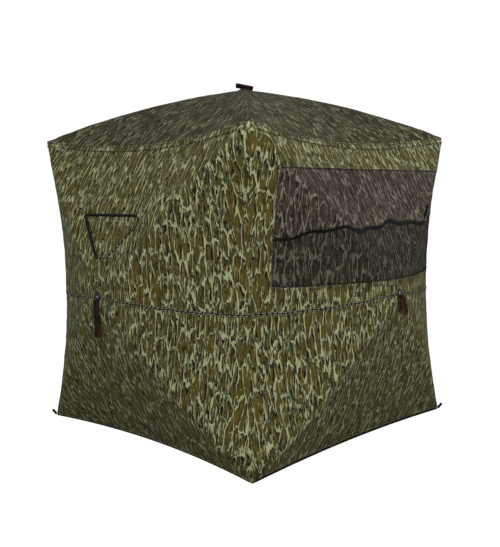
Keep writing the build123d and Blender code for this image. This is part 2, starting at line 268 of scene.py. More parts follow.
def weave(n):
    """The height of a plain weave."""
    cloth = n.cloth()
    across = n.add("TexWave", {"Vector": cloth, "Scale": THREADS / math.tau}, bands_direction="X")
    along = n.add("TexWave", {"Vector": cloth, "Scale": THREADS / math.tau}, bands_direction="Y")
    return n.math("MAXIMUM", across.outputs[1], along.outputs[1])


def camouflage(name, shades, streak=1.0):
    """A bark print: long brown and olive ovals, ringed by broken pale ridges that fork as bark does.

    shades are the crack, brown, olive, grey and pale ridge; a higher streak makes more of it pale.
    """
    crack, brown, olive, grey, pale = (srgb(*shade) for shade in shades)
    n = Nodes(name)
    cloth = n.cloth()
    wobble = n.add("TexNoise", {"Vector": n.scaled(cloth, 70, 11), "Scale": 1.0, "Detail": 3.0}).outputs[1]
    moved = n.add("VectorMath", {0: wobble, 1: (0.5, 0.5, 0.5)}, operation="SUBTRACT").outputs[0]
    jagged = n.add("VectorMath", {0: moved, 1: (0.022, 0.110, 0.0)}, operation="MULTIPLY").outputs[0]
    bark = n.add("VectorMath", {0: cloth, 1: jagged}, operation="ADD").outputs[0]

    def to_rim(offset):
        """The distance from the rim of the oval here, in widths of an oval."""
        inputs = {"Vector": n.scaled(bark, 36, 8.4, offset=offset), "Scale": 1.0, "Randomness": 0.95}
        cells = n.add("TexVoronoi", inputs, feature="DISTANCE_TO_EDGE", voronoi_dimensions="2D")
        return cells.outputs["Distance"]

    rim = to_rim((0, 0, 0))
    fibres = n.noise(n.scaled(bark, 230, 13, offset=(2.6, 6.1, 0)), detail=2.0)
    patches = n.noise(n.scaled(bark, 11, 5.5, offset=(4.4, 8.1, 0)), detail=2.0)
    oval = n.mix(n.step(rim, 0.08, 0.26), olive, brown)
    colour = n.mix(n.math("MULTIPLY", n.step(rim, 0.22, 0.10), n.step(patches, 0.40, 0.52)), oval, grey)
    colour = n.mix(n.math("MULTIPLY", n.step(fibres, 0.52, 0.60), 0.65), colour, crack)
    colour = n.mix(n.math("MULTIPLY", n.step(fibres, 0.42, 0.34), 0.45), colour, grey)

    breaks = n.noise(n.scaled(bark, 58, 13, offset=(1.7, 4.4, 0)), detail=2.0)
    shadow = n.math("MULTIPLY", n.step(to_rim((0.17, 0.06, 0)), 0.10, 0.06), n.step(breaks, 0.42, 0.50))
    knots = n.noise(n.scaled(bark, 125, 38, offset=(5.5, 2.2, 0)), detail=2.0)
    specks = n.math("MULTIPLY", n.step(knots, 0.53, 0.58), n.step(patches, 0.42, 0.52))
    colour = n.mix(n.math("MULTIPLY", n.math("MAXIMUM", shadow, specks), 0.9), colour, crack)

    thin = n.math("SUBTRACT", rim, n.math("MULTIPLY", n.math("SUBTRACT", breaks, 0.54), 0.34))
    ridge = n.step(thin, 0.070, 0.034)
    flecks = n.noise(n.scaled(bark, 185, 24, offset=(9.2, 1.3, 0)), detail=3.0, roughness=0.6)
    in_patch = n.math("MULTIPLY", n.step(flecks, 0.55, 0.61), n.step(patches, 0.42, 0.54))
    alone = n.step(flecks, 0.62 - 0.02 * streak, 0.67 - 0.02 * streak)
    light = n.math("MAXIMUM", ridge, n.math("MAXIMUM", in_patch, alone))
    colour = n.mix(n.math("MULTIPLY", light, 0.88), colour, pale)

    grain = n.noise(n.scaled(cloth, 420, 130), detail=2.0)
    tone = n.add("MapRange", {"Value": grain, "To Min": 0.88, "To Max": 1.12}).outputs[0]
    fade = n.add("MapRange", {"Value": n.noise(n.scaled(cloth, 2.3, 1.9)), "To Min": 0.90, "To Max": 1.10})
    brightness = n.math("MULTIPLY", tone, fade.outputs[0])
    shade = n.add("CombineColor", {0: brightness, 1: brightness, 2: brightness}).outputs[0]
    colour = n.mix(1.0, colour, shade, blend="MULTIPLY")

    creases = n.bump(n.noise(n.scaled(cloth, 34, 26), detail=4.0, roughness=0.6), 0.0016, 0.45)
    normal = n.bump(weave(n), 0.00022, 0.5, creases)
    rough = n.add("MapRange", {"Value": n.noise(n.scaled(cloth, 60, 60)), "To Min": 0.78, "To Max": 0.95})
    return n.finish(Base_Color=colour, Roughness=rough.outputs[0], Normal=normal, Sheen_Weight=0.02,
                    Sheen_Roughness=0.5, Specular_IOR_Level=0.12)


def coated_lining(name):
    """The black coating on the inside of the cloth, which keeps the hunter dark."""
    n = Nodes(name)
    cloth = n.cloth()
    tone = n.noise(n.scaled(cloth, 9, 9), detail=4.0)
    colour = n.mix(tone, srgb(16, 16, 16), srgb(30, 30, 30))
    creases = n.bump(n.noise(n.scaled(cloth, 46, 40), detail=3.0), 0.0012, 0.4)
    rough = n.add("MapRange", {"Value": tone, "To Min": 0.45, "To Max": 0.65})
    normal = n.bump(weave(n), 0.0002, 0.4, creases)
    return n.finish(Base_Color=colour, Roughness=rough.outputs[0], Normal=normal)


def webbing(name, low, high):
    """Woven tape: ribs across it, and fuzz and wear that lighten it here and there."""
    n = Nodes(name)
    cloth = n.cloth()
    worn = n.noise(n.scaled(cloth, 120, 120), detail=4.0)
    colour = n.mix(n.step(worn, 0.35, 0.75), srgb(*low), srgb(*high))
    rib = n.add("TexWave", {"Vector": cloth, "Scale": RIBS / math.tau}, bands_direction="X").outputs[1]
    edge = n.add("TexWave", {"Vector": cloth, "Scale": 2.4 * RIBS / math.tau}, bands_direction="Y").outputs[1]
    normal = n.bump(n.math("MULTIPLY", rib, n.math("ADD", edge, 0.6)), 0.0005, 0.8)
    return n.finish(Base_Color=colour, Roughness=0.85, Normal=normal, Sheen_Weight=0.02,
                    Specular_IOR_Level=0.2)


def moulded(name):
    """Black moulded nylon with a fine texture and scuffs."""
    n = Nodes(name)
    where = n.add("TexCoord").outputs["Object"]
    scuff = n.noise(where, detail=5.0, scale=38)
    colour = n.mix(n.step(scuff, 0.55, 0.75), srgb(22, 22, 23), srgb(46, 45, 44))
    rough = n.add("MapRange", {"Value": scuff, "To Min": 0.38, "To Max": 0.62}).outputs[0]
    grain = n.noise(where, detail=2.0, scale=900)
    return n.finish(Base_Color=colour, Roughness=rough, Normal=n.bump(grain, 0.0002, 0.4))


def glass_fibre(name):
    """A pultruded pole: fine lengthwise fibres under a thin gloss."""
    n = Nodes(name)
    where = n.add("TexCoord").outputs["Object"]
    fibre = n.noise(where, detail=6.0, roughness=0.7, scale=160)
    colour = n.mix(fibre, srgb(28, 28, 26), srgb(62, 60, 54))
    return n.finish(Base_Color=colour, Roughness=0.34, Normal=n.bump(fibre, 0.00025, 0.5), Coat_Weight=0.25)


def plated(name, colour):
    """Plated metal with fine scratches."""
    n = Nodes(name)
    where = n.add("TexCoord").outputs["Object"]
    scratch = n.noise(where, detail=6.0, roughness=0.7, scale=420)
    rough = n.add("MapRange", {"Value": scratch, "To Min": 0.25, "To Max": 0.5}).outputs[0]
    tone = n.mix(scratch, srgb(*colour), srgb(*[min(255, c + 30) for c in colour]))
    return n.finish(Base_Color=tone, Metallic=1.0, Roughness=rough, Normal=n.bump(scratch, 0.0001, 0.3))


def thread(name, colour):
    """Twisted sewing thread."""
    n = Nodes(name)
    where = n.add("TexCoord").outputs["Object"]
    twist = n.noise(where, detail=3.0, scale=700)
    tone = n.mix(twist, srgb(*[int(c * 0.7) for c in colour]), srgb(*colour))
    return n.finish(Base_Color=tone, Roughness=0.7, Normal=n.bump(twist, 0.0003, 0.6))


# Each print as it is seen: crack, brown, olive, grey and pale ridge
BARK = [(11, 11, 6), (82, 71, 27), (72, 69, 28), (68, 72, 46), (162, 163, 124)]
# The roof's print is the bark print darkened, as painted shade on the roof.
ROOF_IN_SHADE = [(9, 8, 6), (50, 44, 26), (46, 44, 28), (52, 51, 38), (134, 130, 102)]
# The curtains' mesh print comes in two copies. The upper curtain's is lightened a little as painted light.
# The lower curtain's, recessed under it, is darkened as painted shade.
CURTAIN_LIT = [(24, 20, 17), (56, 48, 38), (62, 54, 43), (60, 53, 46), (120, 110, 97)]
SHADE = [(16, 14, 9), (42, 38, 25), (48, 44, 29), (42, 41, 32), (96, 92, 76)]
camo = camouflage("bark_print", BARK)
roof_shaded_camo = camouflage("roof_print_painted_shade", ROOF_IN_SHADE)
upper_curtain_lit_camo = camouflage("upper_curtain_print_painted_light", CURTAIN_LIT, streak=1.4)
lower_curtain_shaded_camo = camouflage("lower_curtain_print_painted_shade", SHADE, streak=1.4)
lining = coated_lining("black_coating")
black_tape = webbing("black_webbing", (8, 8, 8), (20, 19, 19))
orange_tape = webbing("orange_webbing", (206, 74, 22), (236, 108, 44))
nylon = moulded("moulded_nylon")
fibre = glass_fibre("glass_fibre")
steel = plated("plated_steel", (150, 148, 142))
seam_tape = webbing("seam_tape", (14, 13, 9), (44, 42, 32))
dark_thread_and_groove_shade = thread("dark_thread_and_groove_shade", (24, 22, 17))
pale_thread_and_highlights = thread("pale_thread_and_highlights", (150, 148, 122))

# ---------------------------------------------------------------- meshes


def finish_piece(bm, name, materials):
    mesh = bpy.data.meshes.new(name)
    bm.to_mesh(mesh)
    bm.free()
    mesh.shade_smooth()
    piece = bpy.data.objects.new(name, mesh)
    bpy.context.scene.collection.objects.link(piece)
    for material in materials:
        mesh.materials.append(material)
    return piece


ROWS = 84  # of faces in a sector's cloth, from its edge to the hub
COLUMNS = 52


def flat_sector(face, turn):
    """A bmesh of one sector of a face, flat, from its drawn-in free edge to the hub."""
    c, s = TURNS[turn]
    bm = bmesh.new()
    grid = []
    for t in np.linspace(0, 1, ROWS + 1)[:-1]:
        row = []
        for u in np.linspace(-1, 1, COLUMNS + 1):
            q = u * (0.4 + 0.6 * u * u)
            edge = pulls(face, turn)[0] * (1 - q * q)
            reach = HALF - edge - t * (HALF - edge)
            side = q * HALF * (1 - t)
            row.append(bm.verts.new((reach * c - side * s, reach * s + side * c, 0)))
        grid.append(row)
    hub = bm.verts.new((0, 0, 0))
    for outer, inner in zip(grid, grid[1:]):
        for k in range(COLUMNS):
            bm.faces.new((outer[k], outer[k + 1], inner[k + 1], inner[k]))
    for k in range(COLUMNS):
        bm.faces.new((grid[-1][k], grid[-1][k + 1], hub))
    for part in bm.faces:
        part.normal_update()
        if part.normal.z < 0:
            part.normal_flip()
    return bm


def cut_lines(polygon):
    """Each side of a polygon drawn anticlockwise: a point of it and its outward direction."""
    area = sum(a[0] * b[1] - b[0] * a[1] for a, b in zip(polygon, polygon[1:] + polygon[:1]))
    corners = polygon if area > 0 else polygon[::-1]
    for a, b in zip(corners, corners[1:] + corners[:1]):
        yield Vector((*a, 0)), Vector((b[1] - a[1], a[0] - b[0], 0)).normalized()


def slice_flat(bm, point, out, clear):
    geometry = [*bm.verts, *bm.edges, *bm.faces]
    bmesh.ops.bisect_plane(bm, geom=geometry, dist=1e-6, plane_co=point, plane_no=out, clear_outer=clear)


def pierce(bm, polygon):
    """Cuts a convex hole in flat cloth."""
    sides = list(cut_lines(polygon))
    for point, out in sides:
        slice_flat(bm, point, out, clear=False)
    inside = [f for f in bm.faces if all((f.calc_center_median() - p).dot(o) < 0 for p, o in sides)]
    bmesh.ops.delete(bm, geom=inside, context="FACES")


def trim(bm, polygon):
    """Cuts flat cloth down to a convex outline."""
    for point, out in cut_lines(polygon):
        slice_flat(bm, point, out, clear=True)


def cloth_piece(name, face, turn, materials, keep=None, hole=None, depth=0.0, drape=None):
    """Cloth of one sector: cut flat, laid on the stretched shape, and given its thickness.

    keep is the outline it is trimmed to, hole one cut in it, and depth how far it is below the skin.
    """
    bm = flat_sector(face, turn)
    if keep:
        trim(bm, keep)
    if hole:
        pierce(bm, hole)
    bm.verts.index_update()
    flat = np.array([v.co[:2] for v in bm.verts])
    c, s = TURNS[turn]
    if face == "roof":
        print_at = np.column_stack([flat @ (-s, c) + ROUND[face] + turn, HALF - flat @ (c, s)])
    else:
        print_at = flat + (ROUND[face], HALF)
    moved, lift = (flat, 0.0) if drape is None else drape(flat)
    for vertex, place in zip(bm.verts, lay(face, turn, moved, lift - depth)):
        vertex.co = place
    uv = bm.loops.layers.uv.new("cloth")
    for part in bm.faces:
        for loop in part.loops:
            loop[uv].uv = print_at[loop.vert.index]
    laid_area = sum(part.calc_area() for part in bm.faces)
    piece = finish_piece(bm, name, materials)
    thick = piece.modifiers.new("thickness", "SOLIDIFY")
    thick.thickness = CLOTH_THICK
    thick.offset = -1
    thick.material_offset = len(materials) - 1
    thick.material_offset_rim = 0
    piece["laid_area"] = laid_area
    return piece


def runs_by_sector(path):
    """A flat path as its runs in each sector: (turn, points)."""
    points = np.array(path, float)
    which = np.argmax(points @ np.array(TURNS, float).T, axis=1)
    start = 0
    for i in range(1, len(points) + 1):
        if i == len(points) or which[i] != which[start]:
            if i - start > 1:
                yield int(which[start]), points[start:i]
            start = i


def spaced(path, step):
    """Points every step along a flat polyline."""
    points = np.array(path, float)
    lengths = np.hypot(*np.diff(points, axis=0).T)
    at = np.concatenate([[0], np.cumsum(lengths)])
    count = max(2, int(round(at[-1] / step)) + 1)
    where = np.linspace(0, at[-1], count)
    return np.column_stack([np.interp(where, at, points[:, k]) for k in (0, 1)])


TAPE_SECTION = [(-0.5, 0.0), (-0.38, 1.0), (0.38, 1.0), (0.5, 0.0), (0.38, -0.4), (-0.38, -0.4)]


def ribbons(bm, uv, face, turn, paths, width, thick, lift, material):
    """Flat ribbons sewn on the cloth along flat paths, with rounded edges and closed ends."""
    flats, lifts = [], []
    for path in paths:
        tangent = np.gradient(path, axis=0)
        tangent /= np.linalg.norm(tangent, axis=1)[:, None] + 1e-12
        across = np.column_stack([-tangent[:, 1], tangent[:, 0]])
        for u, v in TAPE_SECTION:
            flats.append(path + across * (u * width))
            lifts.append(np.full(len(path), lift + v * thick))
    places = iter(lay(face, turn, np.concatenate(flats), np.concatenate(lifts)))
    count = len(TAPE_SECTION)
    for path in paths:
        distance = np.concatenate([[0], np.cumsum(np.hypot(*np.diff(path, axis=0).T))])
        rings = [[bm.verts.new(next(places)) for _ in path] for _ in TAPE_SECTION]
        for k in range(count):
            a, b = rings[k], rings[(k + 1) % count]
            for i in range(len(path) - 1):
                part = bm.faces.new((a[i], a[i + 1], b[i + 1], b[i]))
                part.material_index = material
                spots = ((i, k), (i + 1, k), (i + 1, k + 1), (i, k + 1))
                for loop, (along, row) in zip(part.loops, spots):
                    loop[uv].uv = (distance[along], TAPE_SECTION[row % count][0] * width)
        for i in (0, -1):
            bm.faces.new([ring[i] for ring in rings]).material_index = material


def tape(path, width, thick, lift, material=0, dash=0, pitch=0):
    """A tape along a flat path or, where dash isn't 0, a row of stitches that long, pitch apart."""
    return path, width, thick, lift, material, dash, pitch


def add_tape(bm, uv, face, turn, path, width, thick, lift, material, dash, pitch):
    """Sews on one tape, whose last seven values are as tape gives them."""
    if not dash:
        ribbons(bm, uv, face, turn, [path], width, thick, lift, material)
        return
    skip = max(3, int(round(2 * pitch / dash)))
    stitches = [path[i : i + 3] for i in range(0, len(path) - 2, skip)]
    if stitches:
        ribbons(bm, uv, face, turn, stitches, width, thick, lift, material)


TAPE_STEP = 0.009


def sewn(name, face, tapes, materials):
    """Tapes on a face as one piece for each sector that they cross."""
    made = []
    for turn in range(4):
        bm = bmesh.new()
        uv = bm.loops.layers.uv.new("cloth")
        for path, width, thick, lift, material, dash, pitch in tapes:
            fine = spaced(path, dash / 2 if dash else TAPE_STEP)
            for which, run in runs_by_sector(fine):
                if which == turn:
                    add_tape(bm, uv, face, turn, run, width, thick, lift, material, dash, pitch)
        if not bm.faces:
            bm.free()
            continue
        bmesh.ops.recalc_face_normals(bm, faces=bm.faces)
        piece = finish_piece(bm, f"{face}_{SIDES[face][turn]}_{name}", materials)
        bend_with_panel(piece)
        made.append(piece)
    return made


def rectangle(left, right, bottom, top):
    return [(left, bottom), (right, bottom), (right, top), (left, top)]


def grown(polygon, by):
    """A convex polygon with every side moved out."""
    sides = list(cut_lines(polygon))
    corners = []
    for (p, n), (r, m) in zip(sides[-1:] + sides[:-1], sides):
        a = np.array([[n.x, n.y], [m.x, m.y]])
        b = np.array([n.dot(p) + by, m.dot(r) + by])
        corners.append(tuple(np.linalg.solve(a, b)))
    return corners


# ---------------------------------------------------------------- the skin

WINDOW = rectangle(*FRONT_WINDOW)
sheets = {}
for face in FACES:
    for turn, side in enumerate(SIDES[face]):
        hole = None
        if face == "front" and turn != BOTTOM:
            hole = WINDOW
        elif face == "left" and turn == TOP:
            hole = SIDE_WINDOW
        elif face == "back" and turn == RIGHT:
            hole = DOOR
        # The roof wears the darkened print, painted shade.
        outside = roof_shaded_camo if face == "roof" else camo
        piece = cloth_piece(f"{face}_{side}_skin", face, turn, [outside, lining], hole=hole)
        bend_with_panel(piece)
        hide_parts(f"{face}_{side}_panel")
        sheets[face, turn] = piece

# ---------------------------------------------------------------- windows, flap and door


def hem_wave(x):
    """How far the upper curtain's hem hangs below or above its straight line."""
    slope = 0.016 - 0.026 * smooth((-0.15 - x) / 0.45) + 0.020 * smooth((x + 0.1) / 0.5)
    return slope + 0.011 * np.sin(x * 15.0 + 0.9) + 0.006 * np.sin(x * 37.0 + 0.3)


def curtain_drape(flat):
    """The upper curtain hangs from its top: its hem is wavy and stands off a little."""
    x, y = flat[:, 0], flat[:, 1]
    low = smooth((0.43 - y) / 0.14)
    moved = flat.copy()
    moved[:, 1] += hem_wave(x) * low
    belly = low * (0.004 + 0.004 * np.sin(x * 15.0 + 2.2)) + 0.0016 * ripple(5, x, y, 0.3, 0.07)
    return moved, belly


def cover_drape(flat):
    """The lower curtain is a little slack between its ends."""
    return flat, 0.0022 * ripple(8, flat[:, 0], flat[:, 1], 0.26, 0.05)


left, right, bottom, top = FRONT_WINDOW
LAP = 0.010
UPPER_DEPTH = 0.004  # of the curtains and the flap, behind the skin
LOWER_DEPTH = 0.0075
FLAP_DEPTH = 0.005
upper_shape = rectangle(left - LAP, right + LAP, CURTAIN_HEM, top + LAP)
lower_shape = rectangle(left - LAP / 2, right + LAP / 2, bottom + 0.0025, CURTAIN_HEM + 3 * LAP)
# The upper curtain wears the lightened print, painted light; the lower curtain wears the darkened one,
# painted shade.
for turn in (RIGHT, TOP, LEFT):
    side = SIDES["front"][turn]
    upper = cloth_piece(f"front_{side}_curtain", "front", turn, [upper_curtain_lit_camo, lining], keep=upper_shape,
                        depth=UPPER_DEPTH, drape=curtain_drape)
    bend_with_panel(upper)
    sheets["curtain", turn] = upper
    node = f"front_window_cover_{side}"
    cover = cloth_piece(f"{node}_cloth", "front", turn, [lower_curtain_shaded_camo, lining], keep=lower_shape,
                        depth=LOWER_DEPTH, drape=cover_drape)
    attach(cover, node)
    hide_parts(node)
    sheets["cover", turn] = cover

flap = cloth_piece("side_window_flap_cloth", "left", TOP, [camo, lining], keep=grown(SIDE_WINDOW, 0.006),
                   depth=FLAP_DEPTH)
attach(flap, "side_window_flap")
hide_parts("side_window_flap")
sheets["flap", TOP] = flap
leaf = cloth_piece("door_leaf_cloth", "back", RIGHT, [camo, lining], keep=grown(DOOR, -0.002))
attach(leaf, "door_leaf")
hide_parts("door_leaf")
sheets["door", RIGHT] = leaf

# ---------------------------------------------------------------- seams, bindings and stitches


THREAD = 1  # the material number of a sewn piece's stitches


def closed(polygon):
    return [*polygon, polygon[0]]


def stitch_rows(path, offsets, lift, long=0.0052, wide=0.0012):
    """Rows of stitches beside a flat path; each offset is measured to its left."""
    fine = spaced(path, 0.01)
    tangent = np.gradient(fine, axis=0)
    tangent /= np.linalg.norm(tangent, axis=1)[:, None]
    beside = np.column_stack([-tangent[:, 1], tangent[:, 0]])
    return [tape(fine + beside * offset, wide, 0.0007, lift, THREAD, long, 1.65 * long) for offset in offsets]


with_skin = {}


def note(face, made):
    """Remember what is sewn on each panel of a face."""
    for piece in made:
        for turn, side in enumerate(SIDES[face]):
            if piece.name.startswith(f"{face}_{side}_"):
                with_skin.setdefault((face, turn), []).append(piece)


for face in WALLS:
    reach = HALF - EDGE_PULL - 0.001
    xs = np.linspace(-reach, reach, 240)
    wander = seam_line(xs) + 0.0020 * np.sin(xs * 37) + 0.0013 * np.sin(xs * 83 + 1)
    seam = np.column_stack([xs, wander])
    felled = [tape(seam, 0.015, 0.0022, 0.0002)]
    # The pale stitch rows beside the seam are painted highlights on its puckers.
    specks = stitch_rows(seam, (0.0044, -0.0040), 0.0022, long=0.013, wide=0.0034)
    note(face, sewn("mid_seam", face, felled + specks, [seam_tape, pale_thread_and_highlights]))

window_path = closed(WINDOW)
# The window's binding wears the lower curtain's darkened print, painted shade.
binding = [tape(window_path, 0.005, 0.0010, 0.0)]
binding += stitch_rows(window_path, (-0.011, -0.016), 0.0002)
note("front", sewn("window_binding", "front", binding, [lower_curtain_shaded_camo, dark_thread_and_groove_shade]))
hem_x = np.linspace(left + 0.001, right - 0.001, 260)
edge_line = np.column_stack([hem_x, CURTAIN_HEM + hem_wave(hem_x) - 0.004])
gap_shadow_line = edge_line[hem_x > -0.25] - (0, 0.007)
rolled_hem = edge_line + (0, 0.0105)
# The two black tapes under the upper curtain's hem are painted shadow: the shadow gap between the hem and the
# lower curtain, wider from the middle to the right.
hem_and_gap_shadow_tapes = [
    tape(edge_line, 0.016, 0.0014, -0.0055),
    tape(gap_shadow_line, 0.014, 0.0012, -0.0062),
    tape(rolled_hem, 0.007, 0.0030, -0.0040, material=1),
]
note("front", sewn("curtain_edge", "front", hem_and_gap_shadow_tapes, [black_tape, upper_curtain_lit_camo]))
sill = [(-0.15, bottom + 0.002), (0.10, bottom + 0.002)]
note("front", sewn("window_zip", "front", [tape(sill, 0.009, 0.0012, -0.003)], [black_tape]))

window_top = [SIDE_WINDOW[0], SIDE_WINDOW[4]]
slit_shade_edge = [SIDE_WINDOW[0], SIDE_WINDOW[1]]
window_foot = SIDE_WINDOW[1:]
# The wide black tape along the slit is painted shade: the dark of the slit between the flap and the skin.
flap_edge = [tape(window_top, 0.012, 0.0016, 0.0), tape(slit_shade_edge, 0.016, 0.0014, 0.0)]
flap_edge += [tape(window_foot, 0.0080, 0.0016, 0.0006, dash=0.016, pitch=0.021)]
flap_edge += stitch_rows(closed(SIDE_WINDOW), (0.012, 0.017), 0.0002)
note("left", sewn("window_binding", "left", flap_edge, [black_tape, dark_thread_and_groove_shade]))
door_zip = [tape(closed(DOOR), 0.030, 0.0009, 0.0012), tape(closed(DOOR), 0.006, 0.0022, 0.0016)]
note("back", sewn("door_zip", "back", door_zip, [black_tape]))


def edge_curve(face, turn, q, inset=0.0):
    """Flat points along a free edge, inset from it."""
    c, s = TURNS[turn]
    reach = HALF - pulls(face, turn)[0] * (1 - q * q) - inset
    side = q * np.minimum(HALF, reach)
    return np.column_stack([reach * c - side * s, reach * s + side * c])


FIXED_STEP = 0.012


def fixed_tapes(name, parts, materials):
    """Tapes that stay with the blind's fixed edges, as one piece; each part is (face, turn, tape)."""
    bm = bmesh.new()
    uv = bm.loops.layers.uv.new("cloth")
    for face, turn, (path, width, thick, lift, material, dash, pitch) in parts:
        fine = spaced(path, dash / 2 if dash else FIXED_STEP)
        add_tape(bm, uv, face, turn, fine, width, thick, lift, material, dash, pitch)
    bmesh.ops.recalc_face_normals(bm, faces=bm.faces)
    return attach(finish_piece(bm, name, materials), "root")


q = np.linspace(-0.99, 0.99, 120)
eave_parts = []
hem_parts = []
HEM_TAPE = {"front": 0.016, "left": 0.007, "back": 0.012, "right": 0.012}
for face in WALLS:
    eave_parts.append((face, TOP, tape(edge_curve(face, TOP, q, 0.014), 0.030, 0.0016, 0.0006)))
    # Two rows of dark stitches run along each eave. They are drawn wide and dark as painted shade in the
    # seam's grooves.
    for inset in (0.006, 0.026):
        eave_groove_line = edge_curve(face, TOP, q, inset)
        eave_parts.append((face, TOP, tape(eave_groove_line, 0.0046, 0.0009, 0.0021, THREAD, 0.015, 0.020)))
    wide = HEM_TAPE[face]
    hem_parts.append((face, BOTTOM, tape(edge_curve(face, BOTTOM, q, wide / 2), wide, 0.0024, 0.0004)))
    hem_line = edge_curve(face, BOTTOM, q, wide + 0.005)
    hem_parts.append((face, BOTTOM, tape(hem_line, 0.0013, 0.0008, 0.0004, THREAD, 0.0052, 0.0085)))
eaves = fixed_tapes("eave_seams_and_groove_shade", eave_parts, [camo, dark_thread_and_groove_shade])
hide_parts("edge_bands")
hem = fixed_tapes("hem_binding", hem_parts, [black_tape, pale_thread_and_highlights])
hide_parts("bottom_hem")

# ---------------------------------------------------------------- straps, loops and hub patches


def loop_band(bm, uv, points, across, width, thick, material):
    """A closed band along 3-D points that come back to their start; across is its width's direction."""
    points = np.array(points, float)
    across = np.broadcast_to(across, points.shape)
    tangent = np.roll(points, -1, axis=0) - np.roll(points, 1, axis=0)
    tangent /= np.linalg.norm(tangent, axis=1)[:, None]
    outward = np.cross(tangent, across)
    section = [(-0.5, -0.5), (-0.5, 0.5), (-0.42, 1.0), (0.42, 1.0), (0.5, 0.5), (0.5, -0.5)]
    step = np.linalg.norm(np.roll(points, -1, axis=0) - points, axis=1)
    distance = np.concatenate([[0], np.cumsum(step)])
    rings = []
    for u, v in section:
        places = points + u * width * across + outward * (v * thick)
        rings.append([bm.verts.new(p) for p in places])
    count = len(points)
    for k in range(len(section)):
        a, b = rings[k], rings[(k + 1) % len(section)]
        for i in range(count):
            j = (i + 1) % count
            part = bm.faces.new((a[i], a[j], b[j], b[i]))
            part.material_index = material
            values = ((i, k), (i + 1, k), (i + 1, k + 1), (i, k + 1))
            for loop, (along, row) in zip(part.loops, values):
                loop[uv].uv = (distance[along], section[row % len(section)][0] * width)


WEBBING_WIDTH = 0.0245


def stadium(length, gap, count=48):
    """A flat closed loop: x runs from 0 to length, y across the gap, with count points on a leg."""
    radius = gap / 2
    angles = np.linspace(0, math.pi, 9)
    far = [(length - radius + radius * math.sin(a), radius * math.cos(a)) for a in angles]
    near = [(radius - radius * math.sin(a), -radius * math.cos(a)) for a in angles]
    ups = [(x, radius) for x in np.linspace(radius, length - radius, count)[1:-1]]
    downs = [(x, -radius) for x in np.linspace(length - radius, radius, count)[1:-1]]
    return np.array([*ups, *far, *downs, *near])


def strap_piece(name, origin, along, out, across, length, gap, twist=0.0, lined=0.5):
    """A pull strap of black webbing, lined with orange over a share of its width.

    Its outer leg is twisted by an angle in radians.
    """
    bm = bmesh.new()
    uv = bm.loops.layers.uv.new("cloth")
    for grow, thick, material in ((0.0, 0.0012, 0), (-0.0013, 0.0008, 1)):
        flat = stadium(length + 2 * grow, gap + 2 * grow)
        path = origin + np.outer(flat[:, 0] - grow, along) + np.outer(flat[:, 1], out)
        turned = twist * smooth(flat[:, 1] / gap + 0.5)
        lean = np.outer(np.cos(turned), across) + np.outer(np.sin(turned), out)
        loop_band(bm, uv, path, lean, WEBBING_WIDTH * (lined if material else 1.0), thick, material)
    bmesh.ops.recalc_face_normals(bm, faces=bm.faces)
    return finish_piece(bm, name, [black_tape, orange_tape])


def turned_piece(name, body, material, centre, directions, profile, sides=40):
    """A turned shape on a body: profile is (radius, height) pairs from below its middle to above it."""
    x_dir, y_dir, out = directions
    bm = bmesh.new()
    rings = []
    for radius, high in profile:
        if radius == 0:
            rings.append([bm.verts.new(centre + out * high)])
            continue
        ring = []
        for k in range(sides):
            a = math.tau * k / sides
            spoke = x_dir * math.cos(a) + y_dir * math.sin(a)
            ring.append(bm.verts.new(centre + spoke * radius + out * high))
        rings.append(ring)
    for a, b in zip(rings, rings[1:]):
        for k in range(sides):
            j = (k + 1) % sides
            if len(b) == 1:
                bm.faces.new((a[k], a[j], b[0]))
            elif len(a) == 1:
                bm.faces.new((a[0], b[j], b[k]))
            else:
                bm.faces.new((a[k], a[j], b[j], b[k]))
    bmesh.ops.recalc_face_normals(bm, faces=bm.faces)
    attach(finish_piece(bm, name, [material]), body)


STRAP_GAP = 0.0105
WASHER = [(0, -0.006), (0.019, -0.006), (0.021, -0.004), (0.021, 0.0004), (0.019, 0.0022), (0.010, 0.0030),
          (0, 0.0030)]
RIVET = [(0, -0.004), (0.0058, -0.004), (0.0062, 0.0034), (0.0045, 0.0052), (0, 0.0058)]
PEAK_PATCH = [(0, -0.014), (0.040, -0.014), (0.043, -0.008), (0.028, 0.0010), (0.015, 0.0070), (0, 0.0080)]

for face in WALLS:
    middle, right_dir, up, out = axes(face)
    peak = middle + out * WALL_BOW
    tilt = math.radians(STRAP_TILT[face])
    down = right_dir * math.sin(tilt) - up * math.cos(tilt)
    across = np.cross(down, out)
    origin = peak + down * 0.013 + out * 0.0105
    strap = strap_piece(f"{face}_pull_strap_webbing", origin, down, out, across, STRAP_LENGTH[face] - 0.002,
                        STRAP_GAP)
    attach(strap, f"{face}_pull_strap")
    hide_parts(f"{face}_pull_strap")
    turned = (right_dir, up, out)
    turned_piece(f"{face}_hub_washer", f"{face}_hub", nylon, peak, turned, WASHER)
    turned_piece(f"{face}_hub_rivet", f"{face}_hub", steel, peak, turned, RIVET, sides=24)

peak = np.array([0, 0, FOOTPRINT + ROOF_BOW])
ring_low, ring_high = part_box("roof_pull_strap")
up = np.array([0, 0, 1.0])
across = np.array([1, 1, 0]) / math.sqrt(2)
along = np.array([1, -1, -0.28])  # the flattened ring leans down to its right-hand end
along /= np.linalg.norm(along)
RING_LENGTH = 0.092
RING_HEIGHT = 0.0125
ring_middle = np.array([0, 0, (ring_low.z + ring_high.z) / 2])
ring_start = ring_middle - along * (RING_LENGTH / 2)
roof_strap = strap_piece("roof_pull_strap_webbing", ring_start, along, np.cross(across, along), across,
                         RING_LENGTH, RING_HEIGHT, twist=0.9, lined=0.92)
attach(roof_strap, "roof_pull_strap")
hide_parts("roof_pull_strap")
turned = (np.array([1.0, 0, 0]), np.array([0, 1.0, 0]), up)
turned_piece("roof_hub_patch", "roof_hub", nylon, peak, turned, PEAK_PATCH)

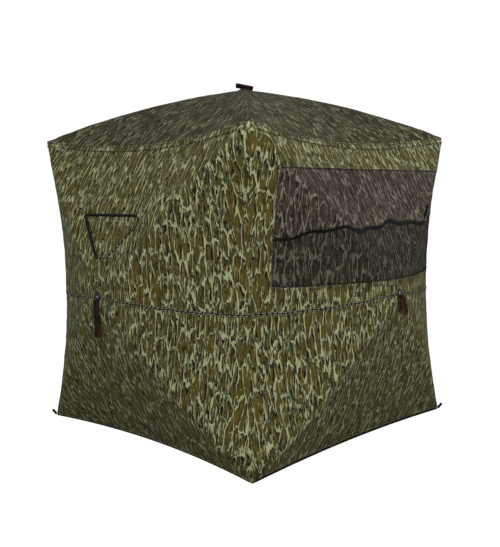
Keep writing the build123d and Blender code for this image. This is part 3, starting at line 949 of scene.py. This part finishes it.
# Stake loops at the ground corners, the front one tucked in under the cloth
bm = bmesh.new()
uv = bm.loops.layers.uv.new("cloth")
for x_side, y_side in ((-1, -1), (1, -1), (1, 1), (-1, 1)):
    inside = x_side == y_side == -1
    outward = np.array([x_side, y_side, 0]) / math.sqrt(2)
    corner = np.array([x_side * HALF, y_side * HALF, 0])
    start = corner - outward * 0.062 if inside else corner + outward * 0.0025
    rise = up if inside else outward + up * 1.2
    rise = rise / np.linalg.norm(rise)
    sideways = np.cross(outward, up)
    out = np.cross(sideways, rise)
    flat = stadium(0.033, 0.006, 8)
    path = start + up * 0.007 + np.outer(flat[:, 0], rise) + np.outer(flat[:, 1], out)
    loop_band(bm, uv, path, sideways, 0.0195, 0.0012, 0)
bmesh.ops.recalc_face_normals(bm, faces=bm.faces)
stakes = finish_piece(bm, "stake_loop_webbing", [black_tape])
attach(stakes, "root")
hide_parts("stake_loops")

# ---------------------------------------------------------------- what is kept from the frame

for node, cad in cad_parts.items():
    if "_pole_" in node:
        new = fibre
    elif node == "door_zip_slider":
        new = steel
    elif node.endswith("_hub") or node == "corner_sockets":
        new = nylon
    else:
        continue
    for place in cad.material_slots:
        place.material = new

# ---------------------------------------------------------------- the sheets' laid areas, taken off again

for key, piece in sheets.items():
    place, turn = key
    del piece["laid_area"]

# ---------------------------------------------------------------- floor, light and camera


def area_light(name, place, target, size, watts):
    lamp = bpy.data.lights.new(name, "AREA")
    lamp.shape = "DISK"
    lamp.size = size
    lamp.energy = watts
    holder = bpy.data.objects.new(name, lamp)
    holder.location = place
    holder.rotation_euler = (Vector(target) - Vector(place)).to_track_quat("-Z", "Y").to_euler()
    bpy.context.scene.collection.objects.link(holder)


FLOOR_HALF = 30
FLOOR_GAP = 0.0005
SKY_TO_CAMERA = 1.05
SKY_LIGHT = 0.48
# The camera's place, turn in degrees and lens, fitted to the blind's corners and hubs
CAMERA_PLACE = (-2.917, -2.836, 1.189)
YAW, PITCH, ROLL = 43.94, -5.98, -0.62
LENS = 50.07

# The floor and the sky are white to the camera alone, as in the photograph; their light is dimmer
n = Nodes("pale_floor")
mottle = n.noise(n.add("TexCoord").outputs["Object"], detail=3.0, scale=1.4)
to_camera = n.add("LightPath").outputs["Is Camera Ray"]
n.finish(Base_Color=n.mix(mottle, srgb(138, 138, 137), srgb(142, 142, 142)), Roughness=0.9,
         Emission_Color=(1.0, 1.0, 1.0, 1.0), Emission_Strength=to_camera)
bm = bmesh.new()
bmesh.ops.create_grid(bm, x_segments=8, y_segments=8, size=FLOOR_HALF)
floor_mesh = bpy.data.meshes.new("floor")
bm.to_mesh(floor_mesh)
bm.free()
floor_mesh.materials.append(n.material)
floor = bpy.data.objects.new("floor", floor_mesh)
floor.location.z = -FLOOR_GAP
bpy.context.scene.collection.objects.link(floor)

world = bpy.data.worlds.new("studio")
world.use_nodes = True
sky = world.node_tree.nodes["Background"]
tree = world.node_tree
direction = tree.nodes.new("ShaderNodeTexCoord").outputs["Generated"]
split = tree.nodes.new("ShaderNodeSeparateXYZ")
ceiling = tree.nodes.new("ShaderNodeMapRange")
tree.links.new(direction, split.inputs[0])
tree.links.new(split.outputs["Z"], ceiling.inputs["Value"])
for socket, value in (("From Min", 0.25), ("From Max", 0.65), ("To Min", 1.0), ("To Max", 0.05)):
    ceiling.inputs[socket].default_value = value
tree.links.new(ceiling.outputs[0], sky.inputs["Color"])
seen = tree.nodes.new("ShaderNodeLightPath").outputs["Is Camera Ray"]
strength = tree.nodes.new("ShaderNodeMapRange")
tree.links.new(seen, strength.inputs["Value"])
strength.inputs["To Min"].default_value = SKY_LIGHT
strength.inputs["To Max"].default_value = SKY_TO_CAMERA
tree.links.new(strength.outputs[0], sky.inputs["Strength"])
bpy.context.scene.world = world
area_light("key", (-5.0, -2.3, 4.4), (0, 0, 1.0), 2.4, 270)
area_light("fill", (0.9, -5.4, 3.9), (0, 0, 0.9), 3.0, 190)
bpy.context.scene.view_settings.view_transform = "Standard"

camera_data = bpy.data.cameras.new("camera")
camera_data.sensor_width = 36
camera_data.lens = LENS
camera = bpy.data.objects.new("camera", camera_data)
bpy.context.scene.collection.objects.link(camera)
yaw, pitch, roll = (math.radians(angle) for angle in (YAW, PITCH, ROLL))
forward = Vector((math.cos(pitch) * math.cos(yaw), math.cos(pitch) * math.sin(yaw), math.sin(pitch)))
level_right = forward.cross(Vector((0, 0, 1))).normalized()
level_up = level_right.cross(forward)
view_right = level_right * math.cos(roll) + level_up * math.sin(roll)
view_up = level_up * math.cos(roll) - level_right * math.sin(roll)
turn_to = Matrix((view_right, view_up, -forward)).transposed()
camera.matrix_world = Matrix.Translation(CAMERA_PLACE) @ turn_to.to_4x4()
bpy.context.scene.camera = camera
